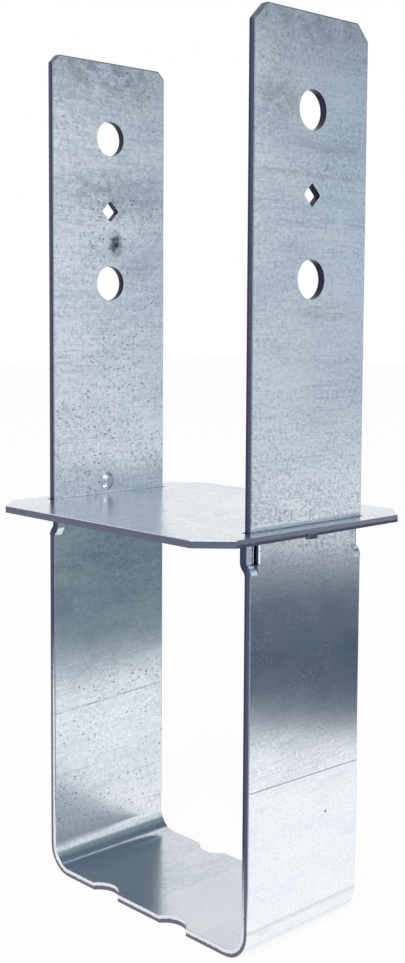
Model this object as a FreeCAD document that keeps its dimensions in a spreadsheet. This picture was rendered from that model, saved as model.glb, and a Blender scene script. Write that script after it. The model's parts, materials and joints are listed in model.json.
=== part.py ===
"""Cast-in post base for a square timber post, in millimetres, +Z up.

Two steel pieces.  The strap is one bar folded to a U, whose bottom is cast into the concrete
and whose legs hold the post with two bolts.  The bearing plate slides down over the legs
through its two slots, rests on tabs lanced out of the legs' edges, and is locked from above
by a dimple pressed into each leg.  X runs from leg to leg, Y along the strap's width, and the
origin is in the middle of the strap's underside.
"""
import FreeCAD, Part
import os
from math import atan, pi, sqrt

import Sketcher

Vector = FreeCAD.Vector
os.makedirs("parts", exist_ok=True)

# ---------------------------------------------------------------- driving dimensions
SIZES = {
    # strap
    "strap_width": 76.2,          # 3 in bar
    "strap_thickness": 3.8,
    "inside_span": 139.7,         # between the legs: a nominal 6 in post
    "bend_radius": 11.0,          # inside of the two bottom bends
    "leg_rise": 232.0,            # plate top to the top of the full-height leg
    "short_leg_trim": 3.5,        # the other leg was sheared this much shorter
    "corner_cut": 7.8,            # 45 degree corners of the full-height leg
    "edge_round": 0.5,            # rolled-over edge of the sheared bar
    # holes in the legs, placed from the top of the bearing plate
    "bolt_hole": 18.3,            # clearance for a 5/8 in bolt
    "lower_bolt_rise": 113.0,
    "bolt_spacing": 76.2,
    "diamond_side": 7.9,          # square hole on its corner, midway between the bolt holes
    "diamond_corner": 0.8,
    # scallops in both edges of the bottom
    "scallop_radius": 11.2,
    "scallop_depth": 5.8,
    "scallop_spacing": 50.8,
    "scallop_shift": 2.5,         # the pair of scallops is off centre, towards the short leg
    # tabs that carry the plate
    "tab_width": 4.7,
    "tab_height": 10.0,
    "tab_offset": 2.8,            # how far a tab is pushed inwards
    "tab_ramp": 5.8,              # height of the double bend under a tab
    "lance_gap": 1.2,             # width of the slit beside and above a tab
    "lance_run": 1.2,             # how far the slit runs on beside the ramp
    "lance_roll": 1.2,            # leg's outer face rolled over along the slit
    # dimples that lock the plate
    "dimple_shift": 2.0,          # from the middle of the leg, to opposite sides on the two legs
    "dimple_width": 7.4,
    "dimple_length": 9.2,
    "dimple_height": 2.0,
    "dimple_gap": 2.0,            # plate top to the foot of the dimple
    "dimple_draft": 40.0,         # slope of its flanks, in degrees
    "dimple_crown": 0.9,          # rounding of its crown
    "punch_width": 3.0,           # the punch's mark on the outer face
    "punch_length": 6.2,
    "punch_depth": 1.9,
    "punch_gap": 0.9,             # plate top to the foot of the mark
    "punch_draft": 14.0,
    # bearing plate
    "seat_height": 196.85,        # strap underside to plate underside: the part in the concrete
    "plate_thickness": 3.5,
    "plate_depth": 139.7,         # along the strap's width
    "plate_lip": 8.4,             # steel left outside each slot
    "plate_corner": 14.3,         # 45 degree corners
    "plate_round": 0.45,          # rolled-over upper edge
    "slot_side_gap": 0.5,         # each side of a leg
    "slot_end_gap": 2.0,          # beyond each edge of a leg
    "slot_corner": 1.0,
    # stubs left where the plate was parted from its strip
    "nib_width": 6.4,
    "nib_shift": 7.0,             # from the middle of each lip
    "nib_reach": 0.9,
    "nib_drop": 1.7,
    "nib_round": 0.8,
}

doc = FreeCAD.newDocument("post_base")
sheet = doc.addObject("Spreadsheet::Sheet", "Sizes")
for row, (alias, value) in enumerate(SIZES.items(), start=1):
    sheet.set(f"A{row}", alias.replace("_", " "))
    sheet.set(f"B{row}", str(value))
    sheet.setAlias(f"B{row}", alias)
doc.recompute()


def size(alias):
    """A driving dimension as the sheet holds it."""
    return float(getattr(sheet, alias))


CLOSE = 1e-4                      # when two places count as the same

# Expressions for places that several features share.
INNER = "Sizes.inside_span / 2"
OUTER = f"({INNER} + Sizes.strap_thickness)"
HALF_WIDTH = "Sizes.strap_width / 2"
PLATE_TOP = "(Sizes.seat_height + Sizes.plate_thickness)"
LEG_TOP = f"({PLATE_TOP} + Sizes.leg_rise)"
LOWER_BOLT = f"({PLATE_TOP} + Sizes.lower_bolt_rise)"
UPPER_BOLT = f"({LOWER_BOLT} + Sizes.bolt_spacing)"
DIAMOND = f"({LOWER_BOLT} + Sizes.bolt_spacing / 2)"

# The same places as numbers, for the sketches' first geometry.
inner = size("inside_span") / 2
outer = inner + size("strap_thickness")
half_width = size("strap_width") / 2
plate_top = size("seat_height") + size("plate_thickness")
leg_top = plate_top + size("leg_rise")
lower_bolt = plate_top + size("lower_bolt_rise")
upper_bolt = lower_bolt + size("bolt_spacing")
diamond = lower_bolt + size("bolt_spacing") / 2


# ---------------------------------------------------------------- helpers
def new_body(label):
    body = doc.addObject("PartDesign::Body", label)
    body.Label = label
    return body


def origin_feature(body, role):
    """One of the body's own origin planes or axes."""
    return next(f for f in body.Origin.OriginFeatures if f.Role == role)


def new_sketch(body, name, role, offset=None):
    """A sketch on an origin plane, moved along the plane's normal by an expression."""
    sketch = body.newObject("Sketcher::SketchObject", name)
    sketch.AttachmentSupport = [(origin_feature(body, role), "")]
    sketch.MapMode = "FlatFace"
    if offset:
        sketch.setExpression("AttachmentOffset.Base.z", offset)
    return sketch


def add_outline(sketch, corners):
    """A closed outline of straight lines; the index of its first line is returned."""
    first = sketch.GeometryCount
    points = [Vector(x, y, 0) for x, y in corners]
    count = len(points)
    for i, point in enumerate(points):
        sketch.addGeometry(Part.LineSegment(point, points[(i + 1) % count]), False)
    for i in range(count):
        sketch.addConstraint(
            Sketcher.Constraint("Coincident", first + i, 2, first + (i + 1) % count, 1))
    return first


def pin(sketch, name, geometry, point, along_x=None, along_y=None):
    """Tie one point's coordinates in the sketch to expressions."""
    for axis, expression in (("X", along_x), ("Y", along_y)):
        if expression is None:
            continue
        place = sketch.getPoint(geometry, point)
        now = place.x if axis == "X" else place.y
        index = sketch.addConstraint(
            Sketcher.Constraint(f"Distance{axis}", -1, 1, geometry, point, now))
        sketch.renameConstraint(index, f"{name}_{axis.lower()}")
        sketch.setExpression(f"Constraints.{name}_{axis.lower()}", expression)


def pin_outline(sketch, first, name, expressions):
    """Tie the start of each line of an outline to its pair of expressions."""
    for i, (along_x, along_y) in enumerate(expressions):
        pin(sketch, f"{name}{i}", first + i, 1, along_x, along_y)


def rectangle(sketch, name, low, high, low_number, high_number):
    """A rectangle between two corners, given as expressions and as numbers."""
    (x0, y0), (x1, y1) = low_number, high_number
    first = add_outline(sketch, [(x0, y0), (x1, y0), (x1, y1), (x0, y1)])
    for side in (0, 2):
        sketch.addConstraint(Sketcher.Constraint("Horizontal", first + side))
        sketch.addConstraint(Sketcher.Constraint("Vertical", first + side + 1))
    pin(sketch, f"{name}_low", first, 1, *low)
    pin(sketch, f"{name}_high", first + 2, 1, *high)
    return first


def add_circle(sketch, name, centre, radius, centre_number, radius_number):
    x, y = centre_number
    index = sketch.addGeometry(
        Part.Circle(Vector(x, y, 0), Vector(0, 0, 1), radius_number), False)
    rule = sketch.addConstraint(Sketcher.Constraint("Radius", index, radius_number))
    sketch.renameConstraint(rule, f"{name}_radius")
    sketch.setExpression(f"Constraints.{name}_radius", radius)
    pin(sketch, name, index, 3, *centre)
    return index


def pad(body, name, sketch, length, midplane=False, reverse=False):
    feature = body.newObject("PartDesign::Pad", name)
    feature.Profile = sketch
    feature.Midplane = midplane
    feature.Reversed = reverse
    feature.setExpression("Length", length)
    sketch.Visibility = False
    doc.recompute()
    return feature


def pocket(body, name, sketch, length=None, midplane=False, reverse=False):
    """Cut a sketch away, through everything both ways unless a length is given."""
    before = body.Tip.Shape.Volume
    feature = body.newObject("PartDesign::Pocket", name)
    feature.Profile = sketch
    feature.Midplane = midplane
    feature.Reversed = reverse
    if length:
        feature.setExpression("Length", length)
    else:
        feature.Type = "ThroughAll"
    sketch.Visibility = False
    doc.recompute()
    if feature.Shape.Volume >= before:
        raise RuntimeError(f"{name} cut nothing")
    return feature


def dress(body, kind, name, edges, amount_property, amount):
    """A fillet or chamfer on the tip's edges that the test picks."""
    base = body.Tip
    names = [f"Edge{i}" for i, edge in enumerate(base.Shape.Edges, start=1) if edges(edge)]
    if not names:
        raise RuntimeError(f"{name} found no edges")
    feature = body.newObject(f"PartDesign::{kind}", name)
    feature.Base = (base, names)
    feature.setExpression(amount_property, amount)
    doc.recompute()
    return feature


def mirror_all(body, name, originals, roles):
    """Repeat features across one origin plane or more."""
    if len(roles) == 1:
        feature = body.newObject("PartDesign::Mirrored", name)
        feature.MirrorPlane = (origin_feature(body, roles[0]), [""])
        feature.Originals = originals
    else:
        feature = body.newObject("PartDesign::MultiTransform", name)
        feature.Originals = originals
        steps = []
        for role in roles:
            step = doc.addObject("PartDesign::Mirrored", f"{name}_{role}")
            body.addObject(step)
            step.MirrorPlane = (origin_feature(body, role), [""])
            steps.append(step)
        feature.Transformations = steps
    body.Tip = feature
    doc.recompute()
    return feature


def near(value, target):
    return abs(value - target) < CLOSE


# ---------------------------------------------------------------- strap
def fold_strap(body):
    """The bar folded to a U: its long section, padded to the bar's width."""
    radius = size("bend_radius")
    thickness = size("strap_thickness")
    short_top = leg_top - size("short_leg_trim")
    floor = thickness
    sketch = new_sketch(body, "strap_section", "XZ_Plane")

    def line(x0, z0, x1, z1):
        return sketch.addGeometry(Part.LineSegment(Vector(x0, z0, 0), Vector(x1, z1, 0)), False)

    def arc(x, z, r, start, end):
        quarter = Part.Circle(Vector(x, z, 0), Vector(0, 0, 1), r)
        return sketch.addGeometry(Part.ArcOfCircle(quarter, start, end), False)

    bend_x = inner - radius
    bend_z = floor + radius
    outside = radius + thickness
    left_out = line(-outer, short_top, -outer, bend_z)
    left_bend_out = arc(-bend_x, bend_z, outside, pi, 1.5 * pi)
    bottom_out = line(-bend_x, 0, bend_x, 0)
    right_bend_out = arc(bend_x, bend_z, outside, 1.5 * pi, 2 * pi)
    right_out = line(outer, bend_z, outer, leg_top)
    right_end = line(outer, leg_top, inner, leg_top)
    right_in = line(inner, leg_top, inner, bend_z)
    right_bend_in = arc(bend_x, bend_z, radius, 1.5 * pi, 2 * pi)
    bottom_in = line(bend_x, floor, -bend_x, floor)
    left_bend_in = arc(-bend_x, bend_z, radius, pi, 1.5 * pi)
    left_in = line(-inner, bend_z, -inner, short_top)
    left_end = line(-inner, short_top, -outer, short_top)

    def join(first, first_end, second, second_end, kind="Coincident"):
        sketch.addConstraint(Sketcher.Constraint(kind, first, first_end, second, second_end))

    # An arc runs anticlockwise, from its point 1 to its point 2.
    join(left_out, 2, left_bend_out, 1, "Tangent")
    join(left_bend_out, 2, bottom_out, 1, "Tangent")
    join(bottom_out, 2, right_bend_out, 1, "Tangent")
    join(right_bend_out, 2, right_out, 1, "Tangent")
    join(right_out, 2, right_end, 1)
    join(right_end, 2, right_in, 1)
    join(right_in, 2, right_bend_in, 2, "Tangent")
    join(right_bend_in, 1, bottom_in, 1, "Tangent")
    join(bottom_in, 2, left_bend_in, 2, "Tangent")
    join(left_bend_in, 1, left_in, 1, "Tangent")
    join(left_in, 2, left_end, 1)
    join(left_end, 2, left_out, 1)
    for upright in (left_out, right_out, right_in, left_in):
        sketch.addConstraint(Sketcher.Constraint("Vertical", upright))
    for level in (right_end, left_end):
        sketch.addConstraint(Sketcher.Constraint("Horizontal", level))
    join(left_bend_in, 3, left_bend_out, 3)
    join(right_bend_in, 3, right_bend_out, 3)
    rule = sketch.addConstraint(Sketcher.Constraint("Radius", right_bend_in, radius))
    sketch.renameConstraint(rule, "inside_bend")
    sketch.setExpression("Constraints.inside_bend", "Sizes.bend_radius")
    pin(sketch, "right_top", right_end, 1, OUTER, LEG_TOP)
    pin(sketch, "right_face", right_end, 2, INNER)
    pin(sketch, "left_top", left_end, 1, f"-{INNER}", f"{LEG_TOP} - Sizes.short_leg_trim")
    pin(sketch, "left_face", left_end, 2, f"-{OUTER}")
    pin(sketch, "floor", bottom_in, 1, None, "Sizes.strap_thickness")
    pin(sketch, "underside", bottom_out, 1, None, "0 mm")
    return pad(body, "folded_bar", sketch, "Sizes.strap_width", midplane=True)


def round_bar_edges(body):
    """The bar's long edges, rolled over where it was slit from the coil."""
    def long_edge(edge):
        box = edge.BoundBox
        return box.YLength < CLOSE and near(abs(box.YMin), half_width) \
            and not near(box.ZLength + box.XLength, size("strap_thickness"))
    dress(body, "Fillet", "rolled_edges", long_edge, "Radius", "Sizes.edge_round")


def cut_leg_corners(body):
    """45 degree corners: smaller on the leg that was sheared shorter."""
    def corner_of(side, top):
        def test(edge):
            box = edge.BoundBox
            return near(box.ZMin, top) and box.ZLength < CLOSE and box.YLength < CLOSE \
                and box.XMin * side > 0 and abs(box.YMin) > half_width / 2
        return test

    def outline_cut(name, side, top, cut_number, top_rule, cut_rule):
        sketch = new_sketch(body, name, "YZ_Plane")
        for sign in (-1, 1):
            edge, depth = sign * half_width, cut_number
            corners = [(edge, top), (edge - sign * depth, top), (edge, top - depth)]
            first = add_outline(sketch, corners)
            y_rule = f"{sign} * {HALF_WIDTH}"
            pin_outline(sketch, first, f"corner{first}_", [
                (y_rule, top_rule),
                (f"{y_rule} - {sign} * {cut_rule}", top_rule),
                (y_rule, f"{top_rule} - {cut_rule}")])
        pocket(body, f"{name}_cut", sketch, OUTER, reverse=side > 0)

    outline_cut("full_leg_corners", 1, leg_top, size("corner_cut"), LEG_TOP, "Sizes.corner_cut")
    outline_cut("short_leg_corners", -1, leg_top - size("short_leg_trim"),
                size("corner_cut") - size("short_leg_trim"),
                f"({LEG_TOP} - Sizes.short_leg_trim)",
                "(Sizes.corner_cut - Sizes.short_leg_trim)")


def punch_legs(body):
    """Two bolt holes and the small square hole on its corner, through both legs."""
    sketch = new_sketch(body, "bolt_holes", "YZ_Plane")
    radius = size("bolt_hole") / 2
    for name, rule, height in (("lower", LOWER_BOLT, lower_bolt), ("upper", UPPER_BOLT, upper_bolt)):
        add_circle(sketch, name, ("0 mm", rule), "Sizes.bolt_hole / 2", (0, height), radius)
    pocket(body, "bolt_hole_punch", sketch, midplane=True)

    sketch = new_sketch(body, "diamond_holes", "YZ_Plane")
    reach = size("diamond_side") / sqrt(2)
    first = add_outline(sketch, [(0, diamond - reach), (reach, diamond),
                                 (0, diamond + reach), (-reach, diamond)])
    reach_rule = "Sizes.diamond_side / sqrt(2)"
    pin_outline(sketch, first, "tip", [
        ("0 mm", f"{DIAMOND} - {reach_rule}"), (reach_rule, DIAMOND),
        ("0 mm", f"{DIAMOND} + {reach_rule}"), (f"-{reach_rule}", DIAMOND)])
    pocket(body, "diamond_punch", sketch, midplane=True)

    def diamond_corner(edge):
        box = edge.BoundBox
        tip = abs(box.YMin) + abs(box.ZMin - diamond)
        return box.YLength < CLOSE and box.ZLength < CLOSE and near(tip, reach)
    dress(body, "Fillet", "diamond_corners", diamond_corner, "Radius", "Sizes.diamond_corner")


def cut_scallops(body):
    """Round bites out of both edges of the bottom, which key it into the concrete."""
    sketch = new_sketch(body, "scallops", "XY_Plane")
    radius = size("scallop_radius")
    out = half_width - size("scallop_depth") + radius
    out_rule = f"({HALF_WIDTH} - Sizes.scallop_depth + Sizes.scallop_radius)"
    for end in (-1, 1):
        x = end * size("scallop_spacing") / 2 - size("scallop_shift")
        x_rule = f"{end} * Sizes.scallop_spacing / 2 - Sizes.scallop_shift"
        for edge in (-1, 1):
            add_circle(sketch, f"bite{end + 1}{edge + 1}", (x_rule, f"{edge} * {out_rule}"),
                       "Sizes.scallop_radius", (x, edge * out), radius)
    pocket(body, "scallop_punch", sketch, "Sizes.strap_thickness * 3", midplane=True)


def lance_tabs(body):
    """Free the legs' edges under the plate, then fold each freed strip inwards."""
    tab_top = size("seat_height")
    tab_foot = tab_top - size("tab_height")
    ramp_foot = tab_foot - size("tab_ramp")
    slit_top = tab_top + size("lance_gap")
    root = half_width - size("tab_width")
    tab_foot_rule = "(Sizes.seat_height - Sizes.tab_height)"
    ramp_foot_rule = f"({tab_foot_rule} - Sizes.tab_ramp)"
    slit_rule = "(Sizes.seat_height + Sizes.lance_gap)"
    root_rule = f"({HALF_WIDTH} - Sizes.tab_width)"
    beyond = half_width + size("tab_width")
    beyond_rule = f"({HALF_WIDTH} + Sizes.tab_width)"

    sketch = new_sketch(body, "freed_edges", "YZ_Plane")
    for sign, name in ((-1, "near"), (1, "far")):
        rectangle(sketch, name, (f"{sign} * {root_rule}", ramp_foot_rule),
                  (f"{sign} * {beyond_rule}", slit_rule),
                  (sign * root, ramp_foot), (sign * beyond, slit_top))
    pocket(body, "freed_edge_cut", sketch, midplane=True)

    # The freed strip follows two equal arcs inwards, then runs straight up to the plate.
    path = new_sketch(body, "tab_path", "XZ_Plane")
    offset, ramp = size("tab_offset"), size("tab_ramp")
    middle = inner + size("strap_thickness") / 2
    middle_rule = f"({INNER} + Sizes.strap_thickness / 2)"
    turn = 2 * atan(offset / ramp)
    radius = (offset ** 2 + ramp ** 2) / (4 * offset)
    low = Part.Circle(Vector(middle - radius, ramp_foot, 0), Vector(0, 0, 1), radius)
    high = Part.Circle(Vector(middle - offset + radius, tab_foot, 0), Vector(0, 0, 1), radius)
    first = path.addGeometry(Part.ArcOfCircle(low, 0, turn), False)
    second = path.addGeometry(Part.ArcOfCircle(high, pi, pi + turn), False)
    straight = path.addGeometry(Part.LineSegment(
        Vector(middle - offset, tab_foot, 0), Vector(middle - offset, tab_top, 0)), False)
    path.addConstraint(Sketcher.Constraint("Tangent", first, 2, second, 2))
    path.addConstraint(Sketcher.Constraint("Tangent", second, 1, straight, 1))
    path.addConstraint(Sketcher.Constraint("Equal", first, second))
    path.addConstraint(Sketcher.Constraint("Vertical", straight))
    pin(path, "root", first, 1, middle_rule, ramp_foot_rule)
    pin(path, "centre", first, 3, None, ramp_foot_rule)
    pin(path, "foot", straight, 1, f"{middle_rule} - Sizes.tab_offset", tab_foot_rule)
    pin(path, "top", straight, 2, None, "Sizes.seat_height")

    section = new_sketch(body, "tab_section", "XY_Plane", ramp_foot_rule)
    rectangle(section, "strip", (INNER, f"-{HALF_WIDTH}"), (OUTER, f"-{root_rule}"),
              (inner, -half_width), (outer, -root))
    doc.recompute()
    tab = body.newObject("PartDesign::AdditivePipe", "tab")
    tab.Profile = section
    tab.Spine = (path, ["Edge1", "Edge2", "Edge3"])
    path.Visibility = section.Visibility = False
    body.Tip = tab
    doc.recompute()
    mirror_all(body, "tabs", [tab], ["XZ_Plane", "YZ_Plane"])

    # The slit beside each tab, down to just past the top of its ramp.
    sketch = new_sketch(body, "lance_slits", "YZ_Plane")
    gap = size("lance_gap")
    for sign, name in ((-1, "near"), (1, "far")):
        rectangle(sketch, name,
                  (f"{sign} * ({root_rule} - Sizes.lance_gap)",
                   f"{tab_foot_rule} - Sizes.lance_run"),
                  (f"{sign} * {root_rule}", slit_rule),
                  (sign * (root - gap), tab_foot - size("lance_run")),
                  (sign * root, slit_top))
    pocket(body, "lance_slit_cut", sketch, midplane=True)

    def slit_edge(edge):
        box = edge.BoundBox
        beside_slit = near(abs(box.YMin), root - gap) and near(abs(box.XMin), outer)
        return beside_slit and box.XLength < CLOSE and box.YLength < CLOSE
    dress(body, "Fillet", "lance_rolls", slit_edge, "Radius", "Sizes.lance_roll")


def press_dimples(body):
    """The pill-shaped dimple that stands proud inside, and the punch's mark outside."""
    shift = size("dimple_shift")

    def pill(name, plane, kind, gap):
        """An upright pill on one face of the full-height leg, from the sizes of its kind."""
        width, length = size(f"{kind}_width"), size(f"{kind}_length")
        low = plate_top + gap + width / 2
        low_rule = f"({PLATE_TOP} + Sizes.{kind}_gap + Sizes.{kind}_width / 2)"
        high = low + length - width
        high_rule = f"({low_rule} + Sizes.{kind}_length - Sizes.{kind}_width)"
        half = width / 2
        sketch = new_sketch(body, name, "YZ_Plane", plane)
        bottom = Part.Circle(Vector(shift, low, 0), Vector(0, 0, 1), half)
        top = Part.Circle(Vector(shift, high, 0), Vector(0, 0, 1), half)
        top_arc = sketch.addGeometry(Part.ArcOfCircle(top, 0, pi), False)
        left = sketch.addGeometry(
            Part.LineSegment(Vector(shift - half, high, 0), Vector(shift - half, low, 0)), False)
        bottom_arc = sketch.addGeometry(Part.ArcOfCircle(bottom, pi, 2 * pi), False)
        right = sketch.addGeometry(
            Part.LineSegment(Vector(shift + half, low, 0), Vector(shift + half, high, 0)), False)
        for a, b in ((top_arc, left), (left, bottom_arc), (bottom_arc, right), (right, top_arc)):
            sketch.addConstraint(Sketcher.Constraint("Tangent", a, 2, b, 1))
        rule = sketch.addConstraint(Sketcher.Constraint("Radius", top_arc, half))
        sketch.renameConstraint(rule, "half_width")
        sketch.setExpression("Constraints.half_width", f"Sizes.{kind}_width / 2")
        pin(sketch, "top", top_arc, 3, "Sizes.dimple_shift", high_rule)
        pin(sketch, "bottom", bottom_arc, 3, "Sizes.dimple_shift", low_rule)
        return sketch

    raised = pad(body, "dimple_crown", pill("crown_outline", INNER, "dimple", size("dimple_gap")),
                 "Sizes.dimple_height", reverse=True)
    raised.setExpression("TaperAngle", "-Sizes.dimple_draft")
    doc.recompute()
    hollow = pocket(body, "punch_mark", pill("punch_outline", OUTER, "punch", size("punch_gap")),
                    "Sizes.punch_depth")
    hollow.setExpression("TaperAngle", "-Sizes.punch_draft")
    doc.recompute()

    # The other leg's dimple is the same one, half a turn about the middle of the part.
    pair = body.newObject("PartDesign::PolarPattern", "dimples")
    pair.Originals = [raised, hollow]
    pair.Axis = (origin_feature(body, "Z_Axis"), [""])
    pair.Occurrences = 2
    body.Tip = pair
    doc.recompute()

    crown_x = inner - size("dimple_height")

    def crown_edge(edge):
        box = edge.BoundBox
        return near(abs(box.XMin), crown_x) and box.XLength < CLOSE
    dress(body, "Fillet", "crown_rounding", crown_edge, "Radius", "Sizes.dimple_crown")


def make_strap():
    body = new_body("strap")
    fold_strap(body)
    round_bar_edges(body)
    cut_leg_corners(body)
    punch_legs(body)
    cut_scallops(body)
    lance_tabs(body)
    press_dimples(body)
    return body


# ---------------------------------------------------------------- bearing plate
def make_bearing_plate():
    """The flat plate that the post stands on, with a slot for each leg."""
    body = new_body("bearing_plate")
    slot_in = inner - size("slot_side_gap")
    slot_out = outer + size("slot_side_gap")
    slot_in_rule = f"({INNER} - Sizes.slot_side_gap)"
    slot_out_rule = f"({OUTER} + Sizes.slot_side_gap)"
    half_x = slot_out + size("plate_lip")
    half_x_rule = f"({slot_out_rule} + Sizes.plate_lip)"
    half_y = size("plate_depth") / 2
    half_y_rule = "Sizes.plate_depth / 2"
    corner = size("plate_corner")

    blank = new_sketch(body, "plate_outline", "XY_Plane", "Sizes.seat_height")
    corners, rules = [], []
    for sx, sy in ((1, -1), (1, 1), (-1, 1), (-1, -1)):
        on_end = (sx * (half_x - corner), sy * half_y)
        on_side = (sx * half_x, sy * (half_y - corner))
        end_rule = (f"{sx} * ({half_x_rule} - Sizes.plate_corner)", f"{sy} * {half_y_rule}")
        side_rule = (f"{sx} * {half_x_rule}", f"{sy} * ({half_y_rule} - Sizes.plate_corner)")
        order = 1 if sx * sy < 0 else -1
        corners += [on_end, on_side][::order]
        rules += [end_rule, side_rule][::order]
    first = add_outline(blank, corners)
    pin_outline(blank, first, "corner", rules)
    pad(body, "plate_blank", blank, "Sizes.plate_thickness")

    slots = new_sketch(body, "slots", "XY_Plane", "Sizes.seat_height")
    half_slot = half_width + size("slot_end_gap")
    half_slot_rule = f"({HALF_WIDTH} + Sizes.slot_end_gap)"
    for sign, name in ((-1, "left"), (1, "right")):
        rectangle(slots, name, (f"{sign} * {slot_in_rule}", f"-{half_slot_rule}"),
                  (f"{sign} * {slot_out_rule}", half_slot_rule),
                  (sign * slot_in, -half_slot), (sign * slot_out, half_slot))
    pocket(body, "slot_punch", slots, midplane=True)

    def slot_corner(edge):
        box = edge.BoundBox
        return box.XLength < CLOSE and box.YLength < CLOSE and near(abs(box.YMin), half_slot)
    dress(body, "Fillet", "slot_corners", slot_corner, "Radius", "Sizes.slot_corner")

    def upper_rim(edge):
        box = edge.BoundBox
        outside = abs(box.XMin) > slot_out + CLOSE or abs(box.XMax) > slot_out + CLOSE \
            or near(abs(box.YMin), half_y)
        return near(box.ZMin, plate_top) and box.ZLength < CLOSE and outside
    dress(body, "Fillet", "rolled_rim", upper_rim, "Radius", "Sizes.plate_round")

    nib = new_sketch(body, "nib_outline", "XZ_Plane", "Sizes.nib_shift")
    reach, drop = size("nib_reach"), size("nib_drop")
    underside = size("seat_height")
    rectangle(nib, "nib",
              (f"{half_x_rule} - Sizes.nib_drop", "Sizes.seat_height - Sizes.nib_drop"),
              (f"{half_x_rule} + Sizes.nib_reach",
               "Sizes.seat_height + Sizes.plate_thickness / 2"),
              (half_x - drop, underside - drop),
              (half_x + reach, underside + size("plate_thickness") / 2))
    stub = pad(body, "nib", nib, "Sizes.nib_width", midplane=True)
    mirror_all(body, "nibs", [stub], ["YZ_Plane"])

    def nib_edge(edge):
        box = edge.BoundBox
        below = near(box.ZMin, underside - drop)
        proud = near(min(abs(box.XMin), abs(box.XMax)), half_x + reach)
        return below or proud
    dress(body, "Fillet", "nib_rounding", nib_edge, "Radius",
          "min(Sizes.nib_round; 0.9 * Sizes.nib_reach)")
    return body


# ---------------------------------------------------------------- build, check and write
bodies = [make_strap(), make_bearing_plate()]
doc.recompute()
for thing in doc.Objects:
    if "Invalid" in thing.State or "Error" in thing.State:
        raise RuntimeError(f"{thing.Name} failed: {thing.State}")
for body in bodies:
    shape = body.Shape
    if shape.isNull() or not shape.isValid() or len(shape.Solids) != 1:
        raise RuntimeError(f"{body.Label} is not one valid solid")
for body in bodies:
    body.Shape.exportStep(f"parts/{body.Label}.step")
    box = body.Shape.BoundBox
    print(f"{body.Label}: {body.Shape.Volume:.1f} mm3, X {box.XMin:.2f} to {box.XMax:.2f}, "
          f"Y {box.YMin:.2f} to {box.YMax:.2f}, Z {box.ZMin:.2f} to {box.ZMax:.2f}")
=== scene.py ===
"""Looks for a cast-in post base: the folded strap and the bearing plate of the frame get their
mill-galvanised finishes, and stand in a plain white studio."""
import json
from math import cos, pi, radians, sin

import bpy
from bpy.props import FloatProperty, FloatVectorProperty, PointerProperty
from mathutils import Matrix, Vector


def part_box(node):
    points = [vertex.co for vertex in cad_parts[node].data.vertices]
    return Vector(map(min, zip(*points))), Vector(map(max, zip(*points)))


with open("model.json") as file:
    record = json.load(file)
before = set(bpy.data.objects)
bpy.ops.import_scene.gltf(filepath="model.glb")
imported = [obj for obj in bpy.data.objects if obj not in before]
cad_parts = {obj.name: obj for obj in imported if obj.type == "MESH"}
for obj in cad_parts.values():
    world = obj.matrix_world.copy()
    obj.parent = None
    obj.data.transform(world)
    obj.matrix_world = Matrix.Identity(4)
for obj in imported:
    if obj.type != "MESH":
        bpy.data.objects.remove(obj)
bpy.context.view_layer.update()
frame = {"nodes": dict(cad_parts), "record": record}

bl_info = {
    "name": "Timber post base",
    "version": (1, 0, 0),
    "blender": (4, 5, 0),
    "location": "3D View > Sidebar > Post base",
    "description": "Galvanised finishes and studio for a cast-in timber post base",
    "category": "Object",
}

MM = 0.001
STRAP_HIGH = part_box("strap")[1]
SEAT = next(m for m in frame["record"]["mounts"] if m["name"] == "post_seat")
PLATE_TOP = SEAT["pos_m"][2] / MM
LEG_TOP = STRAP_HIGH.z / MM
LEG_OUTER = STRAP_HIGH.x / MM
HALF_WIDTH = STRAP_HIGH.y / MM
STRAP_THICKNESS = 3.8
LEG_INNER = LEG_OUTER - STRAP_THICKNESS
BEND_OUTSIDE = 14.8           # outer radius of the two bends
PLATE_THICKNESS = 3.5
CORNER_CUT = 7.8              # 45 degree corners of the full-height leg
SHORT_LEG_TRIM = 3.5          # the leg at -X is this much shorter
DIMPLE_SHIFT = 2.0            # from the middle of each leg, to opposite sides
DIMPLE_MIDDLE = 6.6           # above the plate's top
DIMPLE_STRAIGHT = 0.9         # half the straight stretch of its pill
PUNCH_MARK_TOP = 12.0         # the dimple's outer side ends below this height above the plate
PUNCH_MARK_REACH = 8.0        # and within this distance from the leg's middle
HOLES_START = 20.0            # the punched holes lie above this height above the plate
HOLES_REACH = 12.0            # and within this distance from the leg's middle

# Places along X of the two faces that carry marks, and how near to one counts as on it.
FULL_OUTSIDE = LEG_OUTER
SHORT_INSIDE = -LEG_INNER
FACE_REACH = 0.3

# The part of a normal that points through the sheet, from a sheared edge to a rolled face.
EDGE_TO_FACE = (0.28, 0.42)

# Heights over which the clean feet end, and over which the feet's pits end.
CLEAN_FOOT_END = (75.0, 130.0)
PITTED_FOOT_END = (98.0, 112.0)

# Widths in millimetres of the steel's finer patterns. The real grain, pits and torn edges are
# mostly finer than a millimetre, and are drawn as coarse as they need to show.
STREAK_SIZE = 1.1
SMOKE_SIZE = 13.0
HAIRLINE_SIZE = 2.4
PATCH_SIZE = 20.0
GRAIN_SIZE = 1.9
PIT_SPACING = 1.7
RUB_SIZE = 6.0
TORN_SIZE = 0.9

# How strongly the patterns show: in the zinc's tone, in its colour, its roughness and its height.
TONE_SHARES = (0.30, 0.46, 0.24)       # of clouds, flecks and streaks
SMOKE_DARKNESS = 0.13
HAIRLINE_DARKNESS = 0.22
GRAIN_DARKNESS = 0.36
PIT_DARKNESS = 0.48
DULL_ZINC, BRIGHT_ZINC = 0.24, 0.17    # roughness
GRAIN_ROUGHNESS = 0.10
PIT_ROUGHNESS = 0.15
CLOUD_HEIGHT = 0.02
FLECK_HEIGHT = 0.012
PIT_HEIGHT = -0.015
GRAIN_HEIGHT = -0.006
BUMP_STRENGTH = 0.6

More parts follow.
